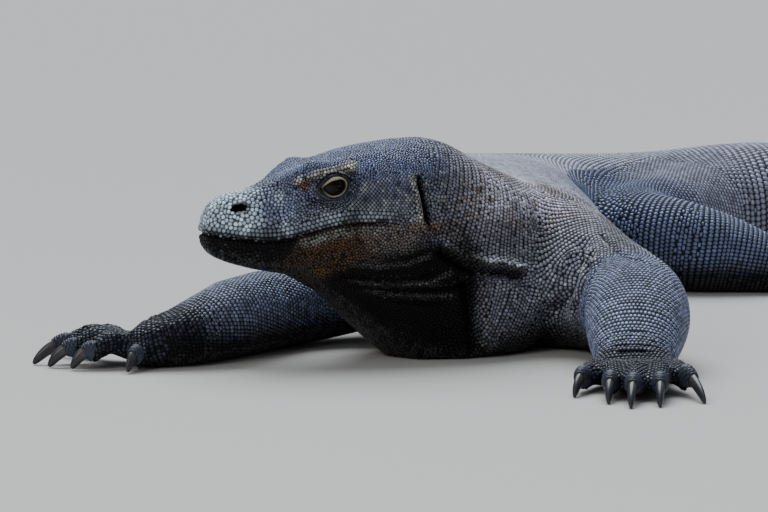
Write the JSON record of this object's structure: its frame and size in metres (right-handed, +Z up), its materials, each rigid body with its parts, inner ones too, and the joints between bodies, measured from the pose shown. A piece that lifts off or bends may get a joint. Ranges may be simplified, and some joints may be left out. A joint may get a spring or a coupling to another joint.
{
  "type": "komodo dragon",
  "caption": "Life-size still komodo dragon lying on its belly, head raised and turned aside, legs sprawled with curved claws, body bent and tail trailing behind.",
  "frame": {"origin": "middle of the bounding box's underside, on the floor that the animal lies on", "axes": "+Z up; +X along the longest side of the box, from the head's side towards the tail; -Y towards the side that the head and the front feet are on"},
  "size_m": [2.1094, 1.3988, 0.188],
  "materials": {
    "head_skin": "beaded scales, blue-grey",
    "throat_skin": "folded skin under small scales, nearly black",
    "neck_skin": "beaded scales, grey with a tan shade",
    "body_skin": "beaded scales, grey-brown",
    "leg_skin": "scales in cross rows, dark blue-grey",
    "foot_skin": "scales in cross rows, nearly black",
    "tail_skin": "scales in rings, grey-brown",
    "claw_horn": "dark horn, ridged along its length",
    "eye": "wet, nearly black"
  },
  "bodies": {
    "root": {"claw_fore_left_1": "claw_horn", "claw_fore_left_2": "claw_horn", "claw_fore_left_3": "claw_horn", "claw_fore_left_4": "claw_horn", "claw_fore_left_5": "claw_horn", "claw_fore_right_1": "claw_horn", "claw_fore_right_2": "claw_horn", "claw_fore_right_3": "claw_horn", "claw_fore_right_4": "claw_horn", "claw_fore_right_5": "claw_horn", "claw_hind_left_1": "claw_horn", "claw_hind_left_2": "claw_horn", "claw_hind_left_3": "claw_horn", "claw_hind_left_4": "claw_horn", "claw_hind_left_5": "claw_horn", "claw_hind_right_1": "claw_horn", "claw_hind_right_2": "claw_horn", "claw_hind_right_3": "claw_horn", "claw_hind_right_4": "claw_horn", "claw_hind_right_5": "claw_horn", "eye_left": "eye", "eye_right": "eye", "foot_left": "foot_skin", "foot_right": "foot_skin", "forearm_left": "leg_skin", "forearm_right": "leg_skin", "hand_left": "foot_skin", "hand_right": "foot_skin", "head": "head_skin", "lower_jaw": "throat_skin", "lumbar": "body_skin", "neck": "neck_skin", "pelvis": "body_skin", "shank_left": "leg_skin", "shank_right": "leg_skin", "tail_base": "tail_skin", "tail_end": "tail_skin", "tail_middle": "tail_skin", "tail_tip": "tail_skin", "thigh_left": "leg_skin", "thigh_right": "leg_skin", "trunk": "body_skin", "upper_arm_left": "leg_skin", "upper_arm_right": "leg_skin"}
  },
  "joints": []
}
